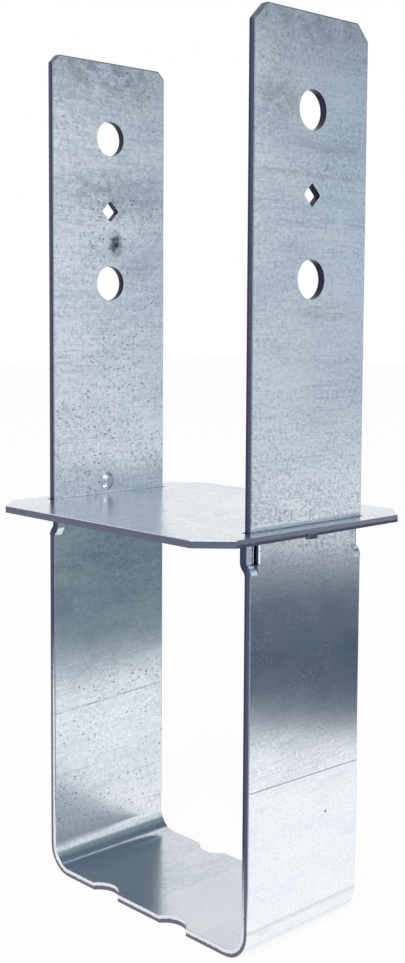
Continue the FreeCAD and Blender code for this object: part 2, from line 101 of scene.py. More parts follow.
# Dull and rubbed places: the face, the centre and the radii along Y and Z in millimetres, and
# the strength.
RUBS = (
    (FULL_OUTSIDE, (-22.0, 391.0), (19.0, 22.0), 0.36),
    (FULL_OUTSIDE, (0.0, LEG_TOP), (75.0, 28.0), 0.42),
    (FULL_OUTSIDE, (6.0, 373.0), (44.0, 6.0), 0.20),
    (FULL_OUTSIDE, (0.0, 361.0), (60.0, 2.6), 0.32),
    (FULL_OUTSIDE, (8.0, 339.0), (50.0, 3.0), 0.34),
    (FULL_OUTSIDE, (10.0, 298.0), (34.0, 5.0), 0.24),
    (SHORT_INSIDE, (3.5, 334.0), (6.5, 10.0), 1.0),
    (SHORT_INSIDE, (0.0, LEG_TOP), (75.0, 36.0), 0.44),
    (SHORT_INSIDE, (4.0, 361.0), (60.0, 20.0), 0.28),
    (SHORT_INSIDE, (20.0, 322.0), (20.0, 16.0), 0.16),
)

# The studio, in metres and degrees. The heading is where the full-height leg's outer face looks
# when it mirrors the camera's view.
MIRROR_HEADING = 44
FLOOR_REACH = 6.0
FLOOR_GLOW = 0.92             # share of the floor's white that doesn't depend on the light
SCREEN_DISTANCE, SCREEN_WIDTH, SCREEN_TOP = 1.5, 3.4, 3.2
CLOTH_NEAR, CLOTH_FAR, CLOTH_SIDE = 0.358, 1.06, 0.8
CLOTH_HEIGHT = 0.004
FLAG_X = 0.062
FLAG_NEAR, FLAG_FAR = 0.052, 0.260
FLAG_FOOT, FLAG_TOP = 0.046, 0.190
LAMP_PLACE, LAMP_TARGET = (0.9, -1.3, 1.7), (0, 0, 0.2)
LAMP_SIZE, LAMP_POWER = 1.2, 18
WORLD_LIGHT = 0.70            # on the part; rays that see the background get all of its white
CAMERA_PLACE = (0.4758, -0.4506, 0.2975)
CAMERA_HEADING, CAMERA_TILT, CAMERA_ROLL = 136.22, -4.84, 0.35
CAMERA_LENS, CAMERA_SENSOR = 32.68, 24.0
CAMERA_SHIFT = (-0.0048, -0.0589)


def linear(code):
    """A colour written as sRGB hex, as the linear values that Blender works in."""
    channels = [int(code[i:i + 2], 16) / 255 for i in (1, 3, 5)]
    return tuple(c / 12.92 if c <= 0.04045 else ((c + 0.055) / 1.055) ** 2.4 for c in channels)


def rgba(code):
    return (*linear(code), 1.0)


# ---------------------------------------------------------------- settings
class PostBaseSettings(bpy.types.PropertyGroup):
    zinc_light: FloatVectorProperty(
        name="Light zinc", description="Fresh, bright areas of the coating",
        subtype="COLOR", size=3, min=0, max=1, default=linear("#F6FBFF"))
    zinc_dark: FloatVectorProperty(
        name="Dark zinc", description="Duller, oxidised areas of the coating",
        subtype="COLOR", size=3, min=0, max=1, default=linear("#D0DAE5"))
    plate_light: FloatVectorProperty(
        name="Light plate zinc", description="Bright areas of the plate's coating",
        subtype="COLOR", size=3, min=0, max=1, default=linear("#E0E6EC"))
    plate_dark: FloatVectorProperty(
        name="Dark plate zinc", description="Duller areas of the plate's coating",
        subtype="COLOR", size=3, min=0, max=1, default=linear("#CBD4DC"))
    pit_colour: FloatVectorProperty(
        name="Pits", description="Specks where the coating is thin",
        subtype="COLOR", size=3, min=0, max=1, default=linear("#465669"))
    fracture: FloatVectorProperty(
        name="Fractured edge", description="The torn part of a sheared edge",
        subtype="COLOR", size=3, min=0, max=1, default=linear("#70707E"))
    burnish: FloatVectorProperty(
        name="Burnished edge", description="The smooth part of a sheared edge",
        subtype="COLOR", size=3, min=0, max=1, default=linear("#E4E6EE"))
    # Painted reflection: the dark that the strap's sheared edges mirror from the studio around
    # them.
    painted_edge_reflection: FloatVectorProperty(
        name="Oiled edge", description="Sheared edges that have kept their dark press oil",
        subtype="COLOR", size=3, min=0, max=1, default=linear("#3A3F5C"))
    # Painted reflection: the dark that the plate's sheared edges mirror from the studio around
    # them.
    plate_edge_reflection: FloatVectorProperty(
        name="Plate edge", description="The plate's oiled sheared edges",
        subtype="COLOR", size=3, min=0, max=1, default=linear("#62677D"))
    cloud_size: FloatProperty(
        name="Cloud size", description="Width of the coating's soft patches, in millimetres",
        default=26.0, min=2.0, max=80.0)
    fleck_size: FloatProperty(
        name="Fleck size", description="Width of the coating's fine flecks, in millimetres",
        default=1.5, min=0.3, max=10.0)


# ---------------------------------------------------------------- node helper
# The setting that tells the nodes of a kind apart, which add() reads after a colon.
MAIN_SETTING = {"Math": "operation", "VectorMath": "operation", "Mix": "data_type",
                "MapRange": "interpolation_type"}


def add(tree, kind, *values, **settings):
    """Add a node with its settings and links. The values go to its inputs in order, or by name
    from a dictionary, and a value may be a socket, or a node, whose first output is linked."""
    kind, _, choice = kind.partition(":")
    node = tree.nodes.new("ShaderNode" + kind)
    if choice:
        setattr(node, MAIN_SETTING[kind], choice)
    for key, value in settings.items():
        setattr(node, key, value)
    if values and isinstance(values[0], dict):
        pairs = [(node.inputs[name], value) for name, value in values[0].items()]
    else:
        pairs = list(zip([socket for socket in node.inputs if socket.enabled], values))
    for socket, value in pairs:
        if isinstance(value, bpy.types.Node):
            value = next(output for output in value.outputs if output.enabled)
        if isinstance(value, bpy.types.NodeSocket):
            tree.links.new(value, socket)
        else:
            socket.default_value = value
    return node


def total(tree, *values):
    """Several numbers added up."""
    result = values[0]
    for value in values[1:]:
        result = add(tree, "Math:ADD", result, value)
    return result


def apart(tree, first, second):
    """How far apart two numbers are."""
    return add(tree, "Math:ABSOLUTE", add(tree, "Math:SUBTRACT", first, second))


def distance(tree, along, across):
    """How far a point is from another, from its distances along and across."""
    return add(tree, "Math:SQRT", add(tree, "Math:ADD", add(tree, "Math:MULTIPLY", along, along),
                                      add(tree, "Math:MULTIPLY", across, across)))


def mottling(tree, where, size, detail=2.0, stretch=(1, 1, 1), offset=(0, 0, 0), roughness=0.5):
    """Uneven patches about size millimetres wide, longer along an axis by stretch."""
    scale = tuple(1.0 / (size * s) for s in stretch)
    placed = add(tree, "Mapping", {"Vector": where, "Location": offset, "Scale": scale})
    return add(tree, "TexNoise",
               {"Vector": placed, "Scale": 1.0, "Detail": detail, "Roughness": roughness})


def new_material(name):
    material = bpy.data.materials.new(name)
    material.use_nodes = True
    material.node_tree.nodes.clear()
    return material, material.node_tree


# ---------------------------------------------------------------- galvanised steel
def millimetres(tree):
    """Object coordinates in millimetres: the whole vector, its parts, and the normal's parts."""
    place = add(tree, "TexCoord")
    scaled = add(tree, "VectorMath:SCALE", place.outputs["Object"], 1 / MM)
    parts = add(tree, "SeparateXYZ", scaled)
    normal = add(tree, "SeparateXYZ", place.outputs["Normal"])
    return scaled.outputs[0], parts.outputs, normal.outputs


def darkened(tree, colour, pattern, darkness, settings):
    """The colour, darkened to that of the pits where the pattern is."""
    return add(tree, "Mix:RGBA", add(tree, "Math:MULTIPLY", pattern, darkness), colour,
               (*settings.pit_colour, 1))


def coating(tree, where, place, settings, zinc, stretch):
    """Colour, roughness and height of the zinc on a rolled face."""
    light, dark = (*zinc[0], 1), (*zinc[1], 1)
    clouds = mottling(tree, where, settings.cloud_size, 4.0, stretch, roughness=0.6)
    flecks = mottling(tree, where, settings.fleck_size, 3.0, (1, 1.5, 1), (7, 3, 5), 0.6)
    streaks = mottling(tree, where, STREAK_SIZE, 3.0, (1, 24, 1), (2, 9, 4), 0.65)
    tone = total(tree, *[add(tree, "Math:MULTIPLY", pattern, share)
                         for pattern, share in zip((clouds, flecks, streaks), TONE_SHARES)])
    colour = add(tree, "Mix:RGBA", add(tree, "MapRange:SMOOTHSTEP", tone, 0.38, 0.60), dark, light)
    # The feet are cleaner, most of all the full-height leg's, and the grain there is faint.
    full_leg = add(tree, "Math:GREATER_THAN", place[0], 0.0)
    foot = add(tree, "MapRange:SMOOTHSTEP", place[2], *CLEAN_FOOT_END, 1.0, 0.0)
    clean = add(tree, "Math:MULTIPLY", foot,
                add(tree, "MapRange:SMOOTHSTEP", full_leg, 0.0, 1.0, 0.40, 0.70))
    colour = add(tree, "Mix:RGBA", clean, colour, light)
    # Smoky patches lie between the feet and the plate, and faintly elsewhere.
    smoky = mottling(tree, where, SMOKE_SIZE, 4.0, (1, 1.7, 1), (9, 2, 6), 0.6)
    smoky = add(tree, "MapRange:SMOOTHSTEP", smoky, 0.42, 0.66, 0.0, SMOKE_DARKNESS)
    smoky = add(tree, "Math:MULTIPLY", smoky,
                add(tree, "MapRange:SMOOTHSTEP", place[2], 60.0, 120.0, 0.12, 1.0))
    smoky = add(tree, "Math:MULTIPLY", smoky,
                add(tree, "MapRange:SMOOTHSTEP", place[2], PLATE_TOP - 6, PLATE_TOP, 1.0, 0.2))
    colour = add(tree, "Mix:RGBA", smoky, colour, (*settings.pit_colour, 1))
    # Hairlines from the rolls run along the sheet.
    drawn = mottling(tree, where, HAIRLINE_SIZE, 2.0, (1, 45, 1), (5, 1, 8), 0.5)
    ridge = apart(tree, drawn, 0.5)
    sparse = mottling(tree, where, 17.0, 2.0, (1, 3, 1), (13, 4, 2))
    hairline = add(tree, "Math:MULTIPLY",
                   add(tree, "MapRange:SMOOTHSTEP", ridge, 0.004, 0.018, 1, 0),
                   add(tree, "MapRange:SMOOTHSTEP", sparse, 0.50, 0.66))
    colour = darkened(tree, colour, hairline, HAIRLINE_DARKNESS, settings)
    # Grain and pits keep to loose patches. These crowd above the plate, at the full-height leg's
    # end and at the short leg's foot.
    above_plate = add(
        tree, "Math:MULTIPLY",
        add(tree, "MapRange:SMOOTHSTEP", place[2], PLATE_TOP, PLATE_TOP + 12),
        add(tree, "MapRange:SMOOTHSTEP", place[2], PLATE_TOP + 40, PLATE_TOP + 75, 1, 0))
    leg_end = add(tree, "MapRange:SMOOTHSTEP", place[2], LEG_TOP - 42, LEG_TOP - 8)
    full_leg_end = add(tree, "Math:MULTIPLY", leg_end, add(tree, "Math:MULTIPLY", full_leg, 1.6))
    pitted_foot = add(tree, "MapRange:SMOOTHSTEP", place[2], *PITTED_FOOT_END, 1.0, 0.0)
    short_foot = add(tree, "Math:MULTIPLY", pitted_foot,
                     add(tree, "Math:SUBTRACT", 1.0, full_leg))
    crowding = add(tree, "Math:MULTIPLY", total(tree, above_plate, full_leg_end, short_foot), 0.12)
    patches = add(tree, "Math:ADD",
                  mottling(tree, where, PATCH_SIZE, 3.0, (1, 1.6, 1), (31, 17, 3)), crowding)
    grain = mottling(tree, where, GRAIN_SIZE, 3.0, (1, 0.8, 1), (4, 6, 1), 0.65)
    grain = add(tree, "Math:MULTIPLY", add(tree, "MapRange:SMOOTHSTEP", grain, 0.53, 0.66),
                add(tree, "MapRange:SMOOTHSTEP", patches, 0.38, 0.66, 0.22, 0.85))
    grain = add(tree, "Math:MULTIPLY", grain, add(tree, "Math:SUBTRACT", 1.0, clean))
    colour = darkened(tree, colour, grain, GRAIN_DARKNESS, settings)
    # Pits are the middles of some cells, and wider where they cluster.
    squeezed = add(tree, "Mapping", {"Vector": where, "Scale": (1, 0.5, 1)})
    cells = add(tree, "TexVoronoi",
                {"Vector": squeezed, "Scale": 1 / PIT_SPACING, "Randomness": 1.0})
    pick = add(tree, "SeparateColor", cells.outputs["Color"])
    shown = add(tree, "Math:MULTIPLY", pitted_foot,
                add(tree, "MapRange:SMOOTHSTEP", place[2], 8.0, 22.0))
    shown = add(tree, "Math:MAXIMUM",
                add(tree, "MapRange:SMOOTHSTEP", place[2], PLATE_TOP - 8, PLATE_TOP), shown)
    cluster = add(tree, "Math:MULTIPLY", add(tree, "MapRange:SMOOTHSTEP", patches, 0.44, 0.64),
                  shown)
    reach = add(tree, "Math:MULTIPLY", pick.outputs[0], add(tree, "Math:MULTIPLY", cluster, 0.26))
    outside = add(tree, "Math:SUBTRACT", cells.outputs["Distance"], reach)
    pits = add(tree, "MapRange:SMOOTHSTEP", outside, -0.03, 0.07, 1, 0)
    pits = add(tree, "Math:MULTIPLY", pits, add(tree, "Math:GREATER_THAN", pick.outputs[1], 0.40))
    pits = add(tree, "Math:MULTIPLY", pits, add(tree, "Math:GREATER_THAN", cluster, 0.12))
    colour = darkened(tree, colour, pits, PIT_DARKNESS, settings)
    rough = total(tree,
                  add(tree, "MapRange:SMOOTHSTEP", tone, 0.35, 0.65, DULL_ZINC, BRIGHT_ZINC),
                  add(tree, "Math:MULTIPLY", grain, GRAIN_ROUGHNESS),
                  add(tree, "Math:MULTIPLY", pits, PIT_ROUGHNESS))
    height = total(tree, add(tree, "Math:MULTIPLY", clouds, CLOUD_HEIGHT),
                   add(tree, "Math:MULTIPLY", flecks, FLECK_HEIGHT),
                   add(tree, "Math:MULTIPLY", pits, PIT_HEIGHT),
                   add(tree, "Math:MULTIPLY", grain, GRAIN_HEIGHT))
    return colour, rough, height


def on_face(tree, place, face):
    """1 on the leg's face that lies there along X, otherwise 0."""
    return add(tree, "Math:LESS_THAN", apart(tree, place[0], face), FACE_REACH)


def scored_line(tree, place, face, height, slope):
    """A fine line scored across a leg when it was set out for bending."""
    line = add(tree, "Math:ADD", add(tree, "Math:MULTIPLY", place[1], slope), height)
    off = apart(tree, place[2], line)
    return add(tree, "Math:MULTIPLY", add(tree, "MapRange:SMOOTHSTEP", off, 0.12, 0.42, 1, 0),
               on_face(tree, place, face))


def smudge(tree, where, place, face, centre, radii):
    """A soft grey rub mark on one face of a leg, ragged, and dragged along it where it is wide."""
    across = add(tree, "Math:DIVIDE", add(tree, "Math:SUBTRACT", place[1], centre[0]), radii[0])
    upward = add(tree, "Math:DIVIDE", add(tree, "Math:SUBTRACT", place[2], centre[1]), radii[1])
    away = distance(tree, across, upward)
    drag = 6.0 if radii[0] > 3 * radii[1] else 1.8
    ragged = mottling(tree, where, RUB_SIZE, 4.0, (1, drag, 1), centre + (0,), 0.7)
    soft = add(tree, "Math:MULTIPLY", add(tree, "MapRange:SMOOTHSTEP", away, 0.15, 1.0, 1, 0),
               add(tree, "MapRange:SMOOTHSTEP", ragged, 0.35, 0.62))
    return add(tree, "Math:MULTIPLY", soft, on_face(tree, place, face))


def leg_rim_shade(tree, place):
    """1 in the thin rim of painted shade along the sheared tops, corners and sides of the legs,
    where their edges roll over.
    """
    top = add(tree, "Math:SUBTRACT", LEG_TOP,
              add(tree, "Math:MULTIPLY", add(tree, "Math:LESS_THAN", place[0], 0.0),
                  SHORT_LEG_TRIM))
    to_top = add(tree, "Math:SUBTRACT", top, place[2])
    to_corner = add(tree, "Math:SUBTRACT", LEG_TOP + HALF_WIDTH - CORNER_CUT,
                    add(tree, "Math:ADD", place[2], add(tree, "Math:ABSOLUTE", place[1])))
    nearest = add(tree, "Math:MINIMUM", to_top, add(tree, "Math:DIVIDE", to_corner, 2 ** 0.5))
    to_side = add(tree, "Math:SUBTRACT", HALF_WIDTH, add(tree, "Math:ABSOLUTE", place[1]))
    beside = add(tree, "Math:MULTIPLY",
                 add(tree, "MapRange:SMOOTHSTEP", to_side, 0.15, 0.75, 1, 0),
                 add(tree, "MapRange:SMOOTHSTEP", place[2], BEND_OUTSIDE, BEND_OUTSIDE + 25.0))
    return add(tree, "Math:MAXIMUM",
               add(tree, "MapRange:SMOOTHSTEP", nearest, 0.35, 0.85, 1, 0), beside)


def outer_bend_lines_and_shade(tree, place, normal):
    """Faint lines that the press left along the outer side of the bend at +X, and painted shade
    along its lowest few millimetres.
    """
    start = apart(tree, place[2], BEND_OUTSIDE + 0.5)
    middle = apart(tree, place[2], 7.5)
    lines = add(tree, "Math:MAXIMUM", add(tree, "MapRange:SMOOTHSTEP", start, 0.3, 1.6, 0.16, 0.0),
                add(tree, "MapRange:SMOOTHSTEP", middle, 0.3, 1.3, 0.13, 0.0))
    # Painted shade darkens the lowest few millimetres of the bend, next to the floor.
    lines = add(tree, "Math:MAXIMUM", lines,
                add(tree, "MapRange:SMOOTHSTEP", place[2], 0.4, 4.5, 0.45, 0.0))
    outside = add(tree, "Math:MULTIPLY", add(tree, "Math:GREATER_THAN", place[0], 0.0),
                  add(tree, "MapRange:SMOOTHSTEP", normal[0], 0.05, 0.25))
    return add(tree, "Math:MULTIPLY", lines, outside)


def pit_mark(tree, place, centre, radius):
    """A single dark pit on the outer face of the full-height leg."""
    away = distance(tree, add(tree, "Math:SUBTRACT", place[1], centre[0]),
                    add(tree, "Math:SUBTRACT", place[2], centre[1]))
    return add(tree, "Math:MULTIPLY",
               add(tree, "MapRange:SMOOTHSTEP", away, 0.5 * radius, 1.3 * radius, 0.8, 0.0),
               on_face(tree, place, FULL_OUTSIDE))


def dimple_shade(tree, place):
    """Painted shade on the dimple on the inner side of the short leg, most of all on its flanks.
    """
    along = add(tree, "Math:SUBTRACT", place[2], PLATE_TOP + DIMPLE_MIDDLE)
    along = add(tree, "Math:SUBTRACT", add(tree, "Math:ABSOLUTE", along), DIMPLE_STRAIGHT)
    away = distance(tree, add(tree, "Math:MAXIMUM", along, 0.0),
                    add(tree, "Math:ADD", place[1], DIMPLE_SHIFT))
    flank = add(tree, "Math:MULTIPLY", add(tree, "MapRange:SMOOTHSTEP", away, 1.7, 2.6, 0.7, 1.0),
                add(tree, "MapRange:SMOOTHSTEP", away, 3.4, 4.6, 1, 0))
    foot = add(tree, "MapRange:SMOOTHSTEP", place[2], PLATE_TOP + 2.5, PLATE_TOP + 5.5)
    inside = add(tree, "Math:LESS_THAN", add(tree, "Math:ABSOLUTE", place[0]),
                 LEG_INNER + FACE_REACH)
    return add(tree, "Math:MULTIPLY", add(tree, "Math:MULTIPLY", flank, foot), inside)


def strap_marks_and_shade(tree, where, place, normal):
    """Where the strap is marked dark or given painted shade, from 0 to 1, beyond its coating's own
    pits.
    """
    # Painted shade along the legs' rolled-over edges.
    painted_rim = add(tree, "Math:MULTIPLY", leg_rim_shade(tree, place), 0.7)
    outer_line = scored_line(tree, place, FULL_OUTSIDE, 80.4, -0.02)
    inner_line = scored_line(tree, place, SHORT_INSIDE, 87.0, 0.05)
    worn = add(tree, "MapRange:SMOOTHSTEP", mottling(tree, where, 9.0), 0.35, 0.6, 0.15, 0.45)
    lines = add(tree, "Math:MAXIMUM", add(tree, "Math:MULTIPLY", outer_line, 0.5),
                add(tree, "Math:MULTIPLY", inner_line, worn))
    rubs = total(tree, *[
        add(tree, "Math:MULTIPLY", smudge(tree, where, place, face, centre, radii), strength)
        for face, centre, radii, strength in RUBS])
    # The bottom's upper side, inside the U, gets painted shade.
    bottom_shade = add(tree, "Math:MULTIPLY", add(tree, "MapRange:SMOOTHSTEP", normal[2], 0.3, 0.9),
               add(tree, "MapRange:SMOOTHSTEP", place[2], BEND_OUTSIDE, 5.0, 0.0, 0.32))
    inner_foot = add(tree, "Math:MULTIPLY",
                     add(tree, "MapRange:SMOOTHSTEP", place[2], 30.0, 130.0, 0.10, 0.0),
                     on_face(tree, place, SHORT_INSIDE))
    # Painted shade lies in the corner where the full-height leg comes up through its slot.
    at_plate = apart(tree, place[2], PLATE_TOP + 0.2)
    corner_shade = add(tree, "Math:MULTIPLY",
                      add(tree, "MapRange:SMOOTHSTEP", at_plate, 0.2, 0.8, 0.4, 0.0),
                      on_face(tree, place, FULL_OUTSIDE))
    # Painted shade on the dimple's flanks.
    painted_dimple_shade = add(tree, "Math:MULTIPLY", dimple_shade(tree, place), 0.52)
    bend_lines_and_shade = outer_bend_lines_and_shade(tree, place, normal)
    pit = pit_mark(tree, place, (15.0, 59.7), 0.8)
    strongest = painted_rim
    for mark in (lines, rubs, bottom_shade, inner_foot, corner_shade, painted_dimple_shade, bend_lines_and_shade, pit):
        strongest = add(tree, "Math:MAXIMUM", strongest, mark, use_clamp=True)
    return strongest


def strap_reflection_share(tree, place, normal):
    """How far the strap's edges get painted reflection of the dark studio: less low down, and
    least on the short leg.
    """
    short = add(tree, "Math:MULTIPLY", add(tree, "Math:LESS_THAN", place[0], 0.0), 75.0)
    return add(tree, "MapRange:SMOOTHSTEP", add(tree, "Math:SUBTRACT", place[2], short), 8.0, 60.0)


def plate_reflection_share(tree, place, normal):
    """The plate's edges get painted reflection of the dark studio, less at its lips, where it was
    parted from its strip.
    """
    lip = add(tree, "Math:ABSOLUTE", normal[0])
    return add(tree, "MapRange:SMOOTHSTEP", lip, 0.80, 0.95, 1.0, 0.80)


def sheared(tree, where, place, normal, depth, thickness, settings, burnished_share, edge_reflection,
            reflection_share):
    """Colour, roughness and height of a sheared edge; depth runs from its fractured side."""
    fracture, burnish, edge_reflection = (*settings.fracture, 1), (*settings.burnish, 1), (*edge_reflection, 1)
    torn = mottling(tree, where, TORN_SIZE, 3.0, (1, 1, 1), (3, 8, 1), 0.7)
    line = add(tree, "Math:ADD", depth,
               add(tree, "MapRange:SMOOTHSTEP", torn, 0.3, 0.7, -0.25, 0.25))
    border = thickness * (1 - burnished_share)
    bright = add(tree, "MapRange:SMOOTHSTEP", line, border - 0.15, border + 0.15)
    bare = add(tree, "Mix:RGBA", bright, fracture, burnish)
    # Painted reflection of the dark studio darkens the edges, except low down, where the edges
    # would mirror the white floor.
    torn_reflection = add(tree, "Mix:RGBA", 0.36, edge_reflection, fracture)
    reflected_edge = add(tree, "Mix:RGBA", bright, torn_reflection, edge_reflection)
    colour = add(tree, "Mix:RGBA", reflection_share(tree, place, normal), bare, reflected_edge)
    # The walls of punched holes are torn, and get painted shade that makes them darker still.
    hole_wall_shade = add(tree, "Math:MULTIPLY",
                  add(tree, "Math:LESS_THAN", add(tree, "Math:ABSOLUTE", place[1]), HOLES_REACH),
                  add(tree, "Math:GREATER_THAN", place[2], PLATE_TOP + HOLES_START))
    colour = add(tree, "Mix:RGBA", add(tree, "Math:MULTIPLY", hole_wall_shade, 0.78), colour,
                 rgba("#262838"))
    rough = add(tree, "MapRange:SMOOTHSTEP", bright, 0, 1, 0.42, 0.20)
    height = add(tree, "Math:MULTIPLY", torn,
                 add(tree, "MapRange:SMOOTHSTEP", bright, 0, 1, 0.12, 0.02))
    return colour, rough, height


def face_or_edge(tree, face, side, edge):
    """A number with one value on the rolled faces and another on the sheared edges."""
    return add(tree, "Math:ADD",
               add(tree, "Math:MULTIPLY", face, add(tree, "Math:SUBTRACT", 1.0, edge)),
               add(tree, "Math:MULTIPLY", side, edge))


def galvanised(name, settings, zinc, depth_and_edge, thickness, stretch, burnished_share, edge_reflection,
               reflection_share, marks_and_shade=None):
    """Mill-galvanised steel: smooth grey zinc, cloudy and faintly spangled, with flecks and
    pits on the rolled faces, and bare sheared edges with a bright and a torn band."""
    material, tree = new_material(name)
    where, place, normal = millimetres(tree)
    depth, edge = depth_and_edge(tree, place, normal)
    colour, rough, height = coating(tree, where, place, settings, zinc, stretch)
    edge_colour, edge_rough, edge_height = sheared(
        tree, where, place, normal, depth, thickness, settings, burnished_share, edge_reflection, reflection_share)
    if marks_and_shade:
        # Marks and painted shade darken the colour towards that of the pits.
        marked_or_shaded = marks_and_shade(tree, where, place, normal)
        colour = add(tree, "Mix:RGBA", marked_or_shaded, colour, (*settings.pit_colour, 1))
        dulled = add(tree, "Math:MULTIPLY", marked_or_shaded,
                     add(tree, "MapRange:SMOOTHSTEP", place[2], 6.0, 30.0, 0.0, 0.5))
        rough = add(tree, "Math:ADD", rough, dulled)
    bump = add(tree, "Bump", {"Height": face_or_edge(tree, height, edge_height, edge),
                              "Distance": MM, "Strength": BUMP_STRENGTH})
    metal = add(tree, "BsdfPrincipled",
                {"Base Color": add(tree, "Mix:RGBA", edge, colour, edge_colour), "Metallic": 1.0,
                 "Roughness": face_or_edge(tree, rough, edge_rough, edge), "Normal": bump})
    add(tree, "OutputMaterial", {"Surface": metal})
    return material


def strap_depth_and_edge(tree, place, normal):
    """How deep a point lies under the strap's outer side, and how far it is a sheared edge."""
    across = add(tree, "Math:SUBTRACT", add(tree, "Math:ABSOLUTE", place[0]),
                 LEG_OUTER - BEND_OUTSIDE)
    across = add(tree, "Math:MAXIMUM", across, 0.0)
    below = add(tree, "Math:MAXIMUM", add(tree, "Math:SUBTRACT", BEND_OUTSIDE, place[2]), 0.0)
    radius = distance(tree, across, below)
    depth = add(tree, "Math:SUBTRACT", BEND_OUTSIDE, radius)
    sideways = add(tree, "Math:MULTIPLY", add(tree, "Math:MULTIPLY", across, normal[0]),
                   add(tree, "Math:SIGN", place[0]))
    downwards = add(tree, "Math:MULTIPLY", below, normal[2])
    facing = add(tree, "Math:DIVIDE", apart(tree, sideways, downwards), radius)
    # The punch mark above the plate keeps its zinc.
    punch_mark = add(tree, "Math:MULTIPLY",
                     add(tree, "Math:GREATER_THAN", place[2], PLATE_TOP),
                     add(tree, "Math:LESS_THAN", place[2], PLATE_TOP + PUNCH_MARK_TOP))
    punch_mark = add(
        tree, "Math:MULTIPLY", punch_mark,
        add(tree, "Math:LESS_THAN", add(tree, "Math:ABSOLUTE", place[1]), PUNCH_MARK_REACH))
    edge = add(tree, "Math:MULTIPLY",
               add(tree, "MapRange:SMOOTHSTEP", facing, *EDGE_TO_FACE, 1.0, 0.0),
               add(tree, "Math:SUBTRACT", 1.0, punch_mark))
    return depth, edge


def plate_depth_and_edge(tree, place, normal):
    """The same for the flat plate, whose torn side is its underside."""
    depth = add(tree, "Math:SUBTRACT", place[2], PLATE_TOP - PLATE_THICKNESS)
    facing = add(tree, "Math:ABSOLUTE", normal[2])
    return depth, add(tree, "MapRange:SMOOTHSTEP", facing, *EDGE_TO_FACE, 1.0, 0.0)


def dress(node, material):
    """Give a CAD node its finish through its own material slots."""
    for slot in frame["nodes"][node].material_slots:
        slot.material = material


class POSTBASE_OT_strap(bpy.types.Operator):
    """Give the folded strap its galvanised finish"""
    bl_idname = "postbase.strap"
    bl_label = "Finish the strap"

    def execute(self, context):
        settings = context.scene.post_base
        zinc = settings.zinc_light, settings.zinc_dark
        dress("strap", galvanised("galvanised_strap", settings, zinc, strap_depth_and_edge,
                                  STRAP_THICKNESS, (1, 2.4, 1), 0.45,
                                  settings.painted_edge_reflection, strap_reflection_share, strap_marks_and_shade))
        return {"FINISHED"}


class POSTBASE_OT_plate(bpy.types.Operator):
    """Give the bearing plate its galvanised finish"""
    bl_idname = "postbase.plate"
    bl_label = "Finish the bearing plate"

    def execute(self, context):
        settings = context.scene.post_base
        zinc = settings.plate_light, settings.plate_dark
        dress("bearing_plate", galvanised("galvanised_plate", settings, zinc,
                                          plate_depth_and_edge, PLATE_THICKNESS,
                                          (2.4, 1, 1), 0.6, settings.plate_edge_reflection, plate_reflection_share))
        return {"FINISHED"}


# ---------------------------------------------------------------- studio
def glowing(tree, shade):
    """An even glow in its own shade, which is what reflections of a studio card look like."""
    glow = add(tree, "Emission", {"Color": shade, "Strength": 1.0})
    add(tree, "OutputMaterial", {"Surface": glow})


def seen_directly(tree):
    """1 for camera, glossy and transmission rays, which see the white background."""
    path = add(tree, "LightPath")
    seen = add(tree, "Math:MAXIMUM", path.outputs["Is Camera Ray"], path.outputs["Is Glossy Ray"])
    return add(tree, "Math:MAXIMUM", seen, path.outputs["Is Transmission Ray"])


def paper_material():
    """White paper: it stays white to the eye and keeps the soft shadow under the part."""
    material, tree = new_material("white_paper")
    matt = add(tree, "BsdfDiffuse", {"Color": rgba("#FFFFFF")})
    glow = add(tree, "Emission", {"Color": rgba("#FFFFFF"), "Strength": 1.0})
    share = add(tree, "Math:MULTIPLY", seen_directly(tree), FLOOR_GLOW)
    add(tree, "OutputMaterial", {"Surface": add(tree, "MixShader", share, matt, glow)})
    return material


def screen_material():
    """A grey screen, paler at its foot and towards its near side, as reflections see it."""
    material, tree = new_material("grey_screen")
    place = millimetres(tree)[1]
    turn = radians(MIRROR_HEADING)
    sideways = add(tree, "Math:SUBTRACT", add(tree, "Math:MULTIPLY", place[1], cos(turn)),
                   add(tree, "Math:MULTIPLY", place[0], sin(turn)))
    upper = add(tree, "Mix:RGBA", add(tree, "MapRange:SMOOTHSTEP", place[2], 450.0, 1000.0),
                rgba("#B6C2CB"), rgba("#627687"))
    grey = add(tree, "Mix:RGBA", add(tree, "MapRange:SMOOTHSTEP", place[2], -60.0, 260.0),
               rgba("#D8DEE3"), upper)
    glowing(tree, add(tree, "Mix:RGBA",
                      add(tree, "MapRange:SMOOTHSTEP", sideways, -160.0, 90.0),
                      rgba("#DDE0E4"), grey))
    return material


def flag_material():
    """A grey-green flag beside the short leg's reflections, fading out at its foot."""
    material, tree = new_material("grey_flag")
    place = millimetres(tree)[1]
    glowing(tree, add(tree, "Mix:RGBA", add(tree, "MapRange:SMOOTHSTEP", place[2], 46.0, 78.0),
                      rgba("#E6EBEE"), rgba("#798A91")))
    return material


def cloth_material():
    """A dark cloth on the floor, which the lower part of the full-height leg mirrors."""
    material, tree = new_material("dark_cloth")
    glowing(tree, rgba("#47586A"))
    return material


def flat_mesh(name, outline, material):
    """A flat stage piece with the outline's corners."""
    mesh = bpy.data.meshes.new(name)
    mesh.from_pydata(outline, [], [range(len(outline))])
    mesh.materials.append(material)
    piece = bpy.data.objects.new(name, mesh)
    bpy.context.scene.collection.objects.link(piece)
    return piece


def panel(name, outline, material, heading=0):
    """A flat studio card, turned to its heading, that only reflections see."""
    turn = Matrix.Rotation(radians(heading), 3, "Z")
    piece = flat_mesh(name, [turn @ Vector(corner) for corner in outline], material)
    piece.visible_camera = False
    piece.visible_diffuse = False
    piece.visible_shadow = False


